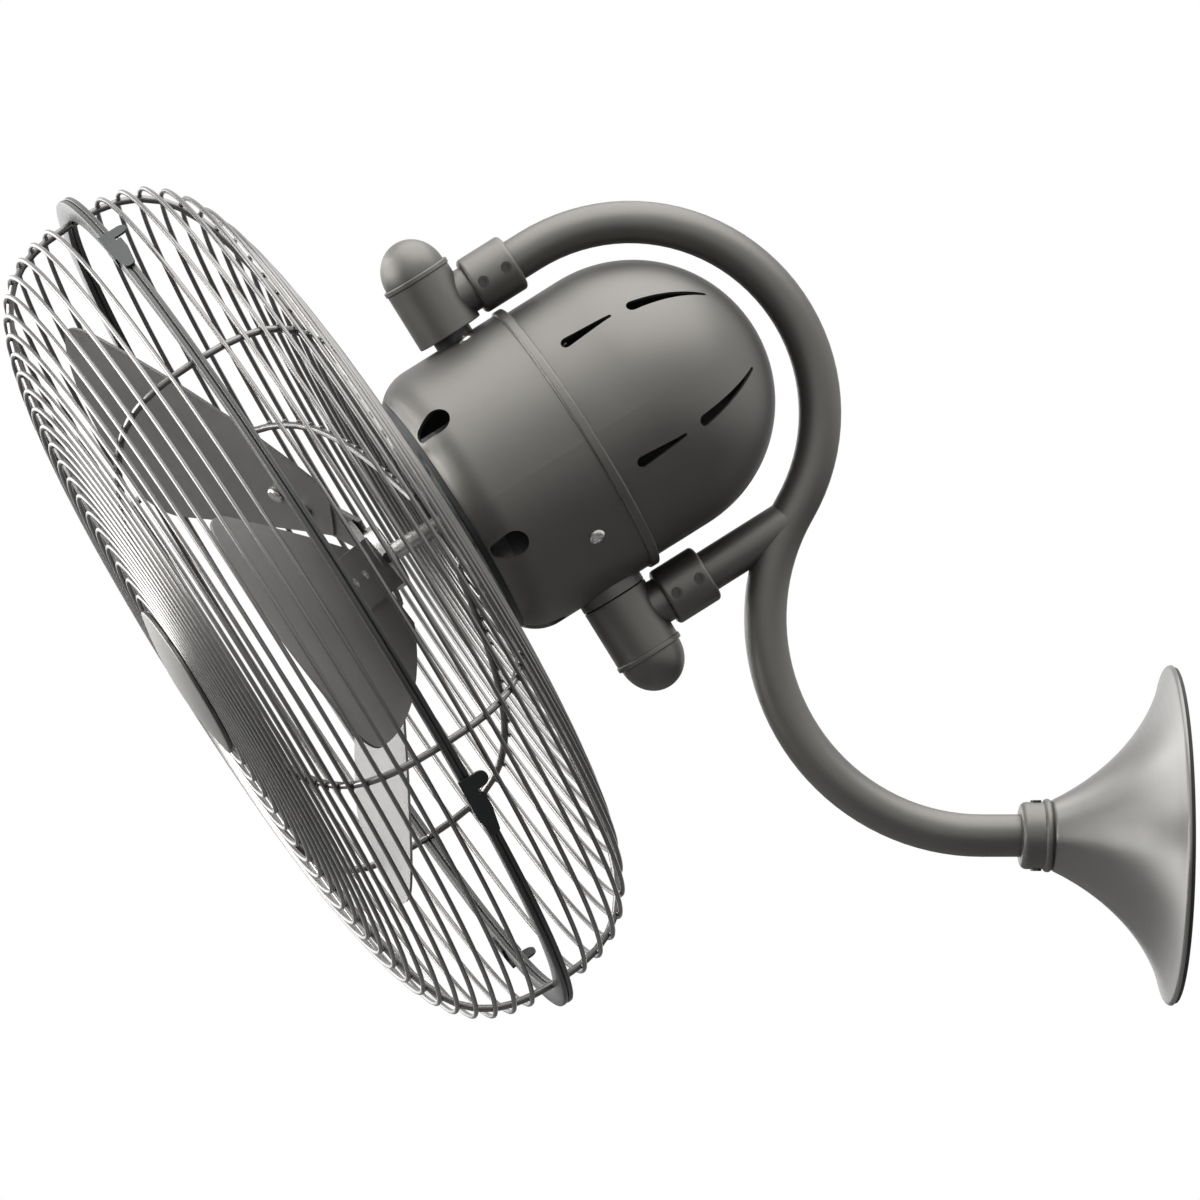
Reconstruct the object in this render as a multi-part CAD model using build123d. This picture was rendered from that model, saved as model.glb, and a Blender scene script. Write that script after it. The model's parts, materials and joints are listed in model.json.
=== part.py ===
from build123d import *
from math import asin, cos, degrees, radians, sin, sqrt, tan
import os

# Wall mounted oscillating cage fan, in millimetres.
# +Z is up. The wall is the plane Y = 0 and the fan stands out from it towards -Y.
# The origin is the middle of the mounting plate's back face.
# Most pieces are drawn in one of three local frames:
#   WALL: x = +X, y = up, z = distance out from the wall
#   HEAD: x = +X, y = up along the sweep pivots, z = forward along the fan's axis,
#         with its origin where those two axes cross
#   ARM:  x = distance out from the wall, y = up, the plane that the bent tube lies in

# ---------------------------------------------------------------- wall plate, bell and collar
gasket_t = 1.6
gasket_w = 8.0
gasket_inset = 1.0
plate_r = 63.5
plate_t = 2.0
box_screw_spacing = 88.9
slot_w = 5.2
slot_length = 12.0
wire_hole_r = 6.0
socket_wall = 3.5
socket_length = 12.0

bell_r = 76.0
bell_wall = 1.2
bell_depth = 55.5
bell_throat_r = 16.0
throat_gap = 0.5
throat_lean = 25.0
throat_pull = 15.5
bell_lip_r = 1.5
bell_lip_turn = 76.0
lip_pull = 35.5

bead_r = 2.0
bead_proud = 1.4
collar_r = 15.0
collar_length = 14.3
collar_round = 3.0
collar_screw_r = 2.5
collar_screw_back = 7.0
set_screw_proud = 0.8
hex_socket_r = 1.5
hex_socket_depth = 1.8

# ---------------------------------------------------------------- bent arm and yoke
tube_r = 9.5
tube_wall = 1.5
tube_fit = 0.05
lower_bend_r = 97.0
pivot_out = 288.0
pivot_up = 165.0
tilt = 32.0
yoke_bend_r = 85.0
yoke_bend_back = 49.4

coupler_r = 13.5
coupler_length = 22.5
coupler_back = 40.8
coupler_round = 2.0
coupler_screw_r = 2.4
coupler_screw_pitch = 12.0
tube_end_gap = 1.0
neck_r = 10.5
neck_bore_r = 3.0

knuckle_r = 15.5
knuckle_length = 30.5
neck_place = 12.5
knuckle_round = 0.6
knuckle_lip = 0.6
knuckle_lip_t = 2.0
cap_r = 14.75
cap_h = 16.5
cap_fullness = 0.56
cap_plug_length = 2.4

pin_r = 5.5
pin_bore_r = 3.0
press_fit = 0.02
running_fit = 0.05

# ---------------------------------------------------------------- motor housing
shell_r = 65.5
shell_wall = 2.0
shell_back = -25.2
shell_front = 42.0
shell_corner_r = 20.0
shell_corner_place = 27.0
rolled_edge_w = 5.0
rolled_edge_proud = 1.2
rear_shell_wall = 1.5
nest_gap = 0.1
nest_length = 12.0
dome_start = -53.0
front_plate_t = 3.0
front_plate_lip_w = 2.0
front_plate_lip_h = 2.0
front_plate_inset = 0.7
front_plate_bore_r = 12.0

vent_count = 6
vent_angle = 39.8
front_vent_r = 6.2
front_vent_tail_r = 4.0
front_vent_length = 8.0
front_vent_lean = 22.0
short_vent_place = -48.5
short_vent_length = 22.5
long_vent_lean = 34.0
long_vent_length = 38.0
rear_vent_r = 2.7
rear_vent_tail_r = 0.8

shell_screw_angles = (78.5, -37.0, 201.0)
shell_screw_place = -3.0
shell_screw_r = 1.6
shell_screw_head_r = 3.6
shell_screw_head_h = 1.6
shell_screw_length = 4.8

# ---------------------------------------------------------------- pivot ring, bushes and sweep drive
ring_gap = 0.3
ring_t = 2.5
ring_half_w = 12.0
boss_r = 11.0
boss_depth = 7.0
bush_r = 8.0
bush_flange_r = 9.2
bush_flange_t = 3.8
bush_end_play = 0.4
spot_face_gap = 0.2

crank_r = 10.0
crank_disc_r = 14.0
crank_disc_t = 2.3
crank_pin_r = 2.0
crank_pin_short = 0.4
crank_shaft_r = 3.0
crank_shaft_length = 9.5
stack_gap = 0.5
lever_t = 2.5
lever_hub_r = 8.5
lever_half_w = 5.0
lever_slot_gap = 0.3
shelf_t = 2.0
shelf_half_w = 21.0
sweep_motor_r = 20.0
sweep_motor_h = 12.0
sweep_motor_place = -22.0
sweep_motor_round = 1.5

# ---------------------------------------------------------------- motor
motor_r = 36.0
stack_back = 2.0
stack_length = 28.0
bell_skirt = 12.0
bell_skin = 1.8
skirt_wall = 5.0
rotor_core_r = 21.7
air_gap = 0.5
stator_slot_count = 12
stator_slot_w = 6.0
stator_slot_low = 24.5
stator_slot_high = 30.8
stator_mouth_w = 2.0
slot_paper = 0.2
winding_reach = 8.0
bearing_r = 8.0
bearing_length = 7.0
bearing_seat_wall = 3.0
bell_bore_gap = 0.3
motor_bolt_r = 1.5
motor_bolt_count = 4
motor_bolt_angle = 45.0
motor_bolt_head_r = 2.7
motor_bolt_head_h = 2.0
capacitor_size = (32.0, 18.0, 28.0)
capacitor_round = 3.0
capacitor_up = -14.0
seat_gap = 0.1

# ---------------------------------------------------------------- rotor
shaft_r = 4.0
shaft_round = 0.6
end_ring_r = 20.0
end_ring_bore_r = 12.0
end_ring_t = 2.5
hub_r = 15.5
hub_back = 73.7
hub_length = 8.3
hub_round = 1.5
hub_screw_r = 2.5
spider_t = 2.0
spider_disc_r = 22.0
spider_arm_w = 26.0
spider_arm_reach = 62.0
blade_count = 3
blade_angle = 0.0
blade_t = 1.2
blade_gap = 0.05
blade_tip_r = 165.0
blade_tip_angle = -22.0
blade_trail_r = 130.0
blade_trail_angle = 30.0
blade_root_r = 28.0
blade_root_lead = 30.0
blade_root_trail = 10.0
blade_tip_bow = 19.0
blade_lead_bow = 12.0
blade_corner_r = 18.0
blade_root_rise = 4.0
blade_cone = 25.6
blade_root_pitch = 8.0
blade_twist = 0.02
blade_camber = 9.0
blade_sheet_w = 180.0
blade_sheet_spare = 10.0
rivet_r = 2.4
rivet_gap = 0.1
rivet_head_r = 4.0
rivet_head_h = 1.6
rivet_count = 2
rivet_first = 42.0
rivet_pitch = 14.0

# ---------------------------------------------------------------- guards
rim_plane = 115.0
rim_r = 203.0
rim_bar_in = 2.2
rim_bar_w = 10.0
rim_bar_t = 2.15
guard_wire = 2.2
guard_rib = 3.4
rib_sink = 0.6
guard_gap = 0.7
rib_count = 6
rib_angle = 38.5
first_ring = 13.8
front_ring_count = 23
front_depth = 65.0
front_side_pull = 50.0
front_face_pull = 150.0
front_face_rise = -1.0
badge_ring_r = 35.0
rear_ring_count = 20
rear_side_pull = 51.0
rear_face_pull = 140.0
rear_face_rise = -4.0
plate_ring_r = 38.0
band_inset = 0.8
band_gap = 0.05
badge_r = 37.0
badge_h = 5.5
badge_edge = 1.5
guard_plate_r = 40.0
guard_plate_bore_r = 18.0
guard_plate_t = 2.0
guard_screw_count = 4
guard_screw_angle = 45.0
guard_screw_r = 2.0
guard_screw_circle_r = 28.0
guard_screw_head_r = 3.8
guard_screw_head_h = 2.2
clip_count = 4
clip_angle = 60.0
clip_length = 33.0
clip_back = 4.6
clip_t = 1.0
clip_gap = 0.3
clip_reach = 4.0
clip_tail_r = 2.6
clip_lobe_w = 7.7
clip_lobe_back = 9.5
clip_notch_w = 2.5
clip_notch_in = 2.4
clip_grip = 14.0

# ---------------------------------------------------------------- frames and shared places
WALL = Plane(origin=(0, 0, 0), x_dir=(1, 0, 0), z_dir=(0, -1, 0))
HEAD = Plane(
    origin=(0, -pivot_out, pivot_up),
    x_dir=(1, 0, 0),
    z_dir=(0, -cos(radians(tilt)), -sin(radians(tilt))),
)
ARM = Plane(origin=(0, 0, 0), x_dir=(0, -1, 0), z_dir=(-1, 0, 0))

collar_back = bell_depth
collar_front = collar_back + collar_length
collar_screw_out = collar_back + collar_screw_back
coupler_front = coupler_back - coupler_length
coupler_middle = (coupler_back + coupler_front) / 2
coupler_screw_places = (-coupler_middle - coupler_screw_pitch / 2, -coupler_middle + coupler_screw_pitch / 2)
tube_end = -coupler_middle
spigot_end = tube_end + tube_end_gap
shell_in_r = shell_r - shell_wall
rear_r = shell_in_r - nest_gap
rear_in_r = rear_r - rear_shell_wall
rear_lip = shell_back + nest_length
spot_face = sqrt(shell_r**2 - (bush_flange_r + spot_face_gap) ** 2)
boss_low = spot_face - boss_depth
bush_top = spot_face + bush_flange_t
knuckle_low = bush_top + bush_end_play
knuckle_high = knuckle_low + knuckle_length
plug_low = knuckle_high - cap_plug_length
yoke_half = knuckle_low + neck_place
ring_out_r = shell_in_r - ring_gap
ring_in_r = ring_out_r - ring_t
lever_high = boss_low - stack_gap
lever_low = lever_high - lever_t
disc_high = lever_low - stack_gap
disc_low = disc_high - crank_disc_t
shelf_high = disc_low - stack_gap
shelf_low = shelf_high - shelf_t
stack_front = stack_back + stack_length
motor_front = stack_front + bell_skirt
motor_back = stack_back - bell_skirt
motor_middle = (motor_front + motor_back) / 2
bearing_seat = bearing_length + running_fit
bolt_circle_r = motor_r - skirt_wall / 2
plate_front = shell_front + front_plate_t
guard_plate_front = plate_front + guard_plate_t
hub_front = hub_back + hub_length
spider_front = hub_front + spider_t
rear_depth = rim_plane - guard_plate_front - guard_wire / 2
rim_in_r = rim_r - rim_bar_in
rim_out_r = rim_in_r + rim_bar_w
rim_half_w = guard_gap / 2 + rim_bar_t
blade_root_place = spider_front + blade_root_rise


# ---------------------------------------------------------------- helpers
def rod(radius, low, high, x=0.0, y=0.0):
    """A cylinder along z between two heights."""
    return Pos(x, y, low) * Cylinder(radius, high - low, align=(Align.CENTER, Align.CENTER, Align.MIN))


def upright(radius, low, high, z=0.0):
    """A cylinder along y between two heights."""
    return Pos(0, 0, z) * Rot(-90, 0, 0) * rod(radius, low, high)


def spoke(radius, low, high, angle, z):
    """A cylinder that points out from the z axis, at an angle from x."""
    return Rot(0, 0, angle) * Pos(0, 0, z) * Rot(0, 90, 0) * rod(radius, low, high)


def spun(outline):
    """A solid of revolution about z, from a face with x as the radius and y as the height."""
    return revolve(Rot(90, 0, 0) * outline, Axis.Z)


def around(count, first_angle=0.0):
    """The turns about z that make equal places round a circle."""
    return [Rot(0, 0, first_angle + 360 * i / count) for i in range(count)]


def teardrop(wide_r, tail_r, length):
    """A flat teardrop along x, middled on the origin, with its wide end at the low side."""
    ends = (Pos(-length / 2, 0) * Circle(wide_r)).edges() + (Pos(length / 2, 0) * Circle(tail_r)).edges()
    return make_hull(ends)


def group(shapes):
    """Separate solids in one compound."""
    return Compound([solid for shape in shapes for solid in shape.solids()])


def below(shape):
    """The same piece turned over for the lower pivot."""
    return mirror(shape, Plane.XZ)


def socket_screw(radius, length):
    """A set screw down from z = 0, with a hexagon socket in its top."""
    return rod(radius, -length, 0) - extrude(RegularPolygon(hex_socket_r, 6), -hex_socket_depth)


def cross_screw(radius, length, head_r, head_h):
    """A screw with a domed head above z = 0, a cross recess and its shank below."""
    side = Line((head_r, 0), (head_r, head_h / 4))
    crown = ThreePointArc(side @ 1, (head_r / 2, head_h * 0.88), (0, head_h))
    screw = spun(make_face([Line((0, 0), (head_r, 0)), side, crown, Line((0, head_h), (0, 0))]))
    recess = Box(head_r * 1.1, head_r / 4, head_h) + Box(head_r / 4, head_r * 1.1, head_h)
    return screw + rod(radius, -length, 0) - Pos(0, 0, head_h) * recess


# ---------------------------------------------------------------- wall mount
def wall_gasket():
    outer = bell_r - gasket_inset
    return rod(outer, 0, gasket_t) - rod(outer - gasket_w, 0, gasket_t)


def mounting_plate():
    """A round plate with two slots for the outlet box's screws and a socket for the tube."""
    socket_top = plate_t + socket_length
    plate = rod(plate_r, 0, plate_t) + rod(tube_r + socket_wall, plate_t, socket_top)
    plate -= rod(wire_hole_r, 0, plate_t) + rod(tube_r + tube_fit, plate_t, socket_top)
    for x in (-box_screw_spacing / 2, box_screw_spacing / 2):
        plate -= Pos(x, 0) * extrude(SlotOverall(slot_length, slot_w), plate_t)
    return plate


def canopy():
    """The trumpet bell: an even wall along a flared line, with a rolled lip and a flat throat."""
    half = bell_wall / 2
    throat = Vector(bell_throat_r - half, bell_depth - half)
    lean = radians(throat_lean)
    lip = CenterArc(
        (bell_r - half - bell_lip_r, gasket_t + seat_gap), bell_lip_r, bell_lip_turn, -bell_lip_turn
    )
    waist = throat + Vector(sin(lean), -cos(lean)) * throat_pull
    hip = lip @ 0 - (lip % 0) * lip_pull
    flare = Bezier(throat, waist, hip, lip @ 0)
    neck = Line((tube_r + throat_gap, bell_depth - half), throat)
    return spun(trace(Curve() + [neck, flare, lip], line_width=bell_wall))


def collar():
    """The barrel that locks the bell on the tube, with a bead where it meets the bell."""
    length = collar_front - collar_back
    barrel = Pos(collar_r / 2, collar_back + length / 2) * Rectangle(collar_r, length)
    barrel = fillet(barrel.vertices().sort_by(Axis.Y)[-2:].sort_by(Axis.X)[-1], collar_round)
    bead = Pos(collar_r + bead_proud - bead_r, collar_back + bead_r) * Circle(bead_r)
    piece = spun(barrel + bead) - rod(tube_r + tube_fit, collar_back, collar_front)
    for angle in (90, 270):
        piece -= spoke(collar_screw_r + seat_gap, tube_r, collar_r + bead_r, angle, collar_screw_out)
    return piece


def collar_screws():
    top = collar_r + set_screw_proud
    screw = socket_screw(collar_screw_r, top - tube_r)
    return group(
        Rot(0, 0, angle) * Pos(top, 0, collar_screw_out) * Rot(0, 90, 0) * screw for angle in (90, 270)
    )


# ---------------------------------------------------------------- arm
def arm_route():
    """The main tube's centre line: out from the wall, up, and back over the housing."""
    lean = radians(tilt)
    low_up = lower_bend_r
    back = Vector(-cos(lean), sin(lean)) * yoke_bend_back
    up = Vector(sin(lean), cos(lean)) * (yoke_half - yoke_bend_r)
    yoke = Vector(pivot_out, pivot_up) + back + up
    reach = lower_bend_r + yoke_bend_r
    rise = yoke.Y - low_up
    straight = yoke.X - sqrt(reach**2 - rise**2)
    meet = degrees(asin(rise / reach))
    foot = Line((plate_t, 0), (straight, 0))
    low = CenterArc((straight, low_up), lower_bend_r, -90, 90 + meet)
    high = CenterArc((yoke.X, yoke.Y), yoke_bend_r, 180 + meet, -(90 + meet + tilt))
    top = Line(high @ 1, high @ 1 + (high % 1) * (yoke_bend_back + tube_end))
    return [foot, low, high, top]


def along_arm(radius):
    """A solid round bar along the arm's centre line."""
    route = ARM * (Curve() + arm_route())
    start = Plane(origin=(0, -plate_t, 0), z_dir=(0, -1, 0))
    return sweep(start * Circle(radius), path=route.wire())


def arm_tube():
    return along_arm(tube_r) - along_arm(tube_r - tube_wall)


def arm_branch():
    """The short lower tube, coped where it is welded to the main tube."""
    foot, low, high, top = arm_route()
    lean = radians(tilt)
    centre = low.arc_center
    across = (centre.X - pivot_out) * sin(lean) + (centre.Y - pivot_up) * cos(lean)
    along = (centre.X - pivot_out) * cos(lean) - (centre.Y - pivot_up) * sin(lean)
    meet = along + sqrt(lower_bend_r**2 - (across + yoke_half) ** 2)
    branch = rod(tube_r, meet, tube_end, y=-yoke_half)
    branch -= rod(tube_r - tube_wall, meet, tube_end, y=-yoke_half)
    return (HEAD * branch) - along_arm(tube_r)


def coupler():
    """The sleeve that joins the upper tube to its knuckle."""
    sleeve = rod(coupler_r, -coupler_back, -coupler_front)
    sleeve = fillet(sleeve.edges().filter_by(GeomType.CIRCLE), coupler_round)
    sleeve -= rod(tube_r + tube_fit, -coupler_back, -coupler_front)
    for z in coupler_screw_places:
        sleeve -= spoke(coupler_screw_r + seat_gap, tube_r, coupler_r, 0, z)
    return Pos(0, yoke_half, 0) * sleeve


def coupler_screws():
    screw = socket_screw(coupler_screw_r, coupler_r - tube_r)
    upper = [Pos(coupler_r, yoke_half, z) * Rot(0, 90, 0) * screw for z in coupler_screw_places]
    return group(upper + [below(screw) for screw in upper])


def knuckle():
    """A barrel on the pivot line, with the neck and spigot that carry it and a bore for the wires."""
    barrel = upright(knuckle_r, knuckle_low, knuckle_high)
    barrel = fillet(barrel.edges().filter_by(GeomType.CIRCLE), knuckle_round)
    lip = upright(knuckle_r + knuckle_lip, knuckle_high - knuckle_round - knuckle_lip_t, knuckle_high)
    lip = fillet(lip.edges().filter_by(GeomType.CIRCLE), knuckle_round)
    neck = rod(neck_r, -coupler_front, 0, y=yoke_half)
    spigot = rod(tube_r, spigot_end, -coupler_front, y=yoke_half)
    wires = rod(neck_bore_r, spigot_end, 0, y=yoke_half)
    return barrel + lip + neck + spigot - wires - upright(pin_r + press_fit, knuckle_low, knuckle_high)


def cap():
    """A bullet-shaped cap with a plug in the knuckle's bore."""
    crown = Bezier((cap_r, 0), (cap_r, cap_h * cap_fullness), (cap_r * cap_fullness, cap_h), (0, cap_h))
    dome = spun(make_face([Line((0, 0), (cap_r, 0)), crown, Line((0, cap_h), (0, 0))]))
    return Pos(0, knuckle_high, 0) * Rot(-90, 0, 0) * (dome + rod(pin_r, -cap_plug_length, 0))


def pivot_pin(low):
    """A hollow pin, with a side hole where the wires come in."""
    pin = upright(pin_r, low, plug_low - seat_gap) - upright(pin_bore_r, low, plug_low - seat_gap)
    return pin - rod(neck_bore_r, -pin_r, 0, y=yoke_half)


def slotted_lever():
    """The lever on the upper pin. The crank's pin slides in its slot as the head sweeps."""
    far = 2 * crank_r
    near = far * cos(radians(45))
    slot_half = crank_pin_r + lever_slot_gap
    lever = make_hull(Circle(lever_hub_r).edges() + (Pos(far, 0) * Circle(lever_half_w)).edges())
    lever -= Pos((near + far) / 2, 0) * SlotCenterToCenter(far - near, 2 * slot_half)
    lever -= Circle(pin_r + press_fit)
    return Pos(0, lever_low, 0) * Rot(0, 90, 0) * Rot(-90, 0, 0) * extrude(lever, lever_t)


# ---------------------------------------------------------------- housing
def cup(radius, corner, low, high):
    """A solid drum with a rounded front corner, which is cut off flat."""
    centre = (radius - corner, shell_corner_place)
    turn = degrees(asin((high - shell_corner_place) / corner))
    bend = CenterArc(centre, corner, 0, turn)
    side = Polyline(bend @ 1, (0, high), (0, low), (radius, low), bend @ 0)
    return spun(make_face([bend, side]))


def front_shell():
    """The cup, with a rolled back edge, six vents and a round boss over the lower pivot."""
    outside = cup(shell_r, shell_corner_r, shell_back, shell_front)
    inside = cup(shell_in_r, shell_corner_r - shell_wall, shell_back, shell_front)
    roll = Pos(shell_r - rolled_edge_proud, shell_back + rolled_edge_w / 2) * RectangleRounded(
        4 * rolled_edge_proud, rolled_edge_w, rolled_edge_proud
    )
    boss = below(upright(knuckle_r, spot_face - shell_wall, bush_top))
    shell = outside + spun(roll) + boss - inside
    flange_hole = upright(bush_flange_r + spot_face_gap, spot_face, bush_top)
    bush_hole = upright(bush_r + seat_gap, boss_low, spot_face)
    shell -= flange_hole + bush_hole
    shell -= below(flange_hole + bush_hole)
    vent = extrude(teardrop(front_vent_r, front_vent_tail_r, front_vent_length), -2 * shell_corner_r)
    corner = Pos(shell_r - shell_corner_r, 0, shell_corner_place) * Rot(0, -front_vent_lean, 0)
    for turn in around(vent_count, vent_angle):
        shell -= turn * corner * Rot(0, -90, 0) * vent
    for angle in shell_screw_angles:
        shell -= spoke(shell_screw_r + seat_gap, ring_out_r, shell_r, angle, shell_screw_place)
    return shell


def dome(radius, lip):
    """A solid drum with a half ball at its back."""
    back = CenterArc((0, dome_start), radius, -90, 90)
    side = Polyline((radius, dome_start), (radius, lip), (0, lip), (0, dome_start - radius))
    return spun(make_face([back, side]))


def rear_shell():
    """The domed cover, with six short teardrop vents on its side and six long ones on the dome."""
    shell = dome(rear_r, rear_lip) - dome(rear_in_r, rear_lip)
    short = extrude(teardrop(rear_vent_r, rear_vent_tail_r, short_vent_length), shell_r)
    long = extrude(teardrop(rear_vent_r, rear_vent_tail_r, long_vent_length), shell_r)
    for turn in around(vent_count, vent_angle):
        shell -= turn * Pos(0, 0, short_vent_place) * Rot(0, 90, 0) * short
        shell -= turn * Pos(0, 0, dome_start) * Rot(0, 90 + long_vent_lean, 0) * long
    return shell


def front_plate():
    """The black plate that closes the front shell, with a lip inside its opening."""
    corner_in = shell_corner_r - shell_wall
    opening_r = shell_r - shell_corner_r + sqrt(corner_in**2 - (shell_front - shell_corner_place) ** 2)
    rim = shell_r - shell_corner_r + sqrt(shell_corner_r**2 - (shell_front - shell_corner_place) ** 2)
    lip_r = opening_r - seat_gap
    plate = rod(rim - front_plate_inset, shell_front, plate_front)
    plate = fillet(plate.edges().group_by(Axis.Z)[-1], front_plate_t / 3)
    plate += rod(lip_r, shell_front - front_plate_lip_h, shell_front)
    plate -= rod(lip_r - front_plate_lip_w, shell_front - front_plate_lip_h, shell_front)
    plate -= rod(front_plate_bore_r, shell_front, plate_front)
    for turn in around(guard_screw_count, guard_screw_angle):
        plate -= turn * rod(guard_screw_r + seat_gap, shell_front, plate_front, guard_screw_circle_r)
    return plate


def shell_screws():
    screw = cross_screw(shell_screw_r, shell_screw_length, shell_screw_head_r, shell_screw_head_h)
    place = Pos(shell_r, 0, shell_screw_place) * Rot(0, 90, 0)
    return group(Rot(0, 0, angle) * place * screw for angle in shell_screw_angles)


# ---------------------------------------------------------------- pivot ring, bushes and sweep drive
def pivot_ring():
    """The ring inside the shells, with a boss at each pivot and a shelf for the sweep motor."""
    outside = rod(ring_out_r, -ring_half_w, ring_half_w)
    ring = outside - rod(ring_in_r, -ring_half_w, ring_half_w)
    boss = upright(boss_r, boss_low, ring_out_r) & outside
    bush_hole = upright(bush_r + press_fit, boss_low, ring_out_r)
    middle = (shelf_low + shelf_high) / 2
    tongue_end = sweep_motor_place - sweep_motor_r
    shelf = Pos(0, middle, 0) * Box(2 * ring_out_r, shelf_t, 2 * ring_half_w) & outside
    shelf += Pos(0, middle, tongue_end / 2) * Box(2 * shelf_half_w, shelf_t, -tongue_end)
    shelf -= upright(crank_shaft_r + lever_slot_gap, shelf_low, shelf_high, -crank_r)
    ring += boss + below(boss) + shelf
    ring -= bush_hole + below(bush_hole)
    for angle in shell_screw_angles:
        ring -= spoke(shell_screw_r + seat_gap, ring_in_r, shell_r, angle, shell_screw_place)
    return ring


def bush():
    """A flanged bush, whose flange is the black washer under the knuckle."""
    body = upright(bush_r, boss_low, spot_face) + upright(bush_flange_r, spot_face, bush_top)
    return body - upright(pin_r + running_fit, boss_low, bush_top)


def sweep_crank():
    """A disc on the sweep motor's shaft, with the pin that works in the lever's slot."""
    disc = upright(crank_disc_r, disc_low, disc_high, -crank_r)
    shaft = upright(crank_shaft_r, disc_low - crank_shaft_length, disc_low, -crank_r)
    pin = upright(crank_pin_r, disc_high, lever_high - crank_pin_short, -2 * crank_r)
    return disc + shaft + pin


def sweep_motor():
    """The small geared motor under the shelf, with a bore for the crank's shaft."""
    drum = upright(sweep_motor_r, shelf_low - sweep_motor_h, shelf_low, sweep_motor_place)
    drum = fillet(drum.edges().filter_by(GeomType.CIRCLE).sort_by(Axis.Y)[0], sweep_motor_round)
    bore_low = disc_low - crank_shaft_length - stack_gap
    return drum - upright(crank_shaft_r + running_fit, bore_low, shelf_low, -crank_r)


# ---------------------------------------------------------------- motor
def bolt_holes(radius, low, high):
    """Cutters for the motor's through bolts."""
    hole = rod(radius, low, high, bolt_circle_r)
    return group(turn * hole for turn in around(motor_bolt_count, motor_bolt_angle))


def stator_core():
    """The laminated stack, with twelve slots that open to the bore."""
    bore = rotor_core_r + air_gap
    core = Circle(motor_r) - Circle(bore)
    depth = stator_slot_high - stator_slot_low
    pocket = Pos(stator_slot_low + depth / 2, 0) * RectangleRounded(depth, stator_slot_w, stator_slot_w / 4)
    mouth = Pos(bore, 0) * Rectangle(2 * (stator_slot_low - bore) + 1, stator_mouth_w)
    for turn in around(stator_slot_count):
        core -= turn * (pocket + mouth)
    core = Pos(0, 0, stack_back) * extrude(core, stack_length)
    return core - bolt_holes(motor_bolt_r + seat_gap, stack_back, stack_front)


def stator_windings():
    """Coil sides through the slots and the end turns that join them."""
    low = stator_slot_low + slot_paper
    high = stator_slot_high - slot_paper
    winding = None
    for start in (stack_back - winding_reach, stack_front):
        turns = Pos((low + high) / 2, start + winding_reach / 2) * RectangleRounded(
            high - low, winding_reach, (high - low) / 3
        )
        ring = spun(turns)
        winding = ring if winding is None else winding + ring
    bar = Pos((low + high) / 2, 0, motor_middle) * Box(
        high - low - slot_paper, stator_slot_w - 2 * slot_paper, stack_length + winding_reach
    )
    bar = fillet(bar.edges().filter_by(Axis.Z), stator_slot_w / 4)
    for turn in around(stator_slot_count):
        winding += turn * bar
    return winding


def rear_end_bell():
    """A skirted cover with a seat for the bearing."""
    bell = rod(motor_r, motor_back, stack_back)
    bell = fillet(bell.edges().group_by(Axis.Z)[0], bell_skin)
    bell -= rod(motor_r - skirt_wall, motor_back + bell_skin, stack_back)
    bell += rod(bearing_r + bearing_seat_wall, motor_back, motor_back + bell_skin + bearing_seat)
    bell -= rod(bearing_r + press_fit, motor_back + bell_skin, motor_back + bell_skin + bearing_seat)
    bell -= rod(shaft_r + bell_bore_gap, motor_back, motor_back + bell_skin)
    return bell - bolt_holes(motor_bolt_r + seat_gap, motor_back, stack_back)


def front_end_bell():
    """The front cover, with threads for the guard's screws too."""
    bell = Pos(0, 0, 2 * motor_middle) * mirror(rear_end_bell(), Plane.XY)
    thread = rod(guard_screw_r + seat_gap, motor_front - bell_skin, motor_front, guard_screw_circle_r)
    for turn in around(guard_screw_count, guard_screw_angle):
        bell -= turn * thread
    return bell


def bearings():
    low = motor_back + bell_skin
    rear = rod(bearing_r, low, low + bearing_length) - rod(shaft_r + running_fit, low, low + bearing_length)
    return group([rear, Pos(0, 0, 2 * motor_middle) * mirror(rear, Plane.XY)])


def motor_bolts():
    bolt = rod(motor_bolt_r, motor_back, motor_front - seat_gap, bolt_circle_r)
    head = rod(motor_bolt_head_r, motor_back - motor_bolt_head_h, motor_back, bolt_circle_r)
    return group(turn * (bolt + head) for turn in around(motor_bolt_count, motor_bolt_angle))


def run_capacitor():
    case = Box(*capacitor_size)
    case = fillet(case.edges().filter_by(Axis.Z), capacitor_round)
    return Pos(0, capacitor_up, motor_back - capacitor_size[2] / 2) * case


# ---------------------------------------------------------------- rotor
def motor_shaft():
    shaft = rod(shaft_r, motor_back, hub_front)
    return chamfer(shaft.edges().filter_by(GeomType.CIRCLE), shaft_round)


def rotor_core():
    """The laminated core with its two end rings."""
    core = rod(rotor_core_r, stack_back, stack_front)
    core += rod(end_ring_r, stack_back - end_ring_t, stack_front + end_ring_t)
    core -= rod(end_ring_bore_r, stack_back - end_ring_t, stack_back)
    core -= rod(end_ring_bore_r, stack_front, stack_front + end_ring_t)
    return core - rod(shaft_r + press_fit, stack_back, stack_front)


def blade_hub():
    hub = rod(hub_r, hub_back, hub_front)
    hub = fillet(hub.edges().group_by(Axis.Z)[0], hub_round)
    hub -= rod(shaft_r + press_fit, hub_back, hub_front)
    return hub - spoke(hub_screw_r + seat_gap, shaft_r, hub_r, 0, hub_back + hub_length / 2)


def hub_screw():
    screw = socket_screw(hub_screw_r, hub_r - shaft_r - seat_gap)
    return Pos(hub_r, 0, hub_back + hub_length / 2) * Rot(0, 90, 0) * screw


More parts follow.
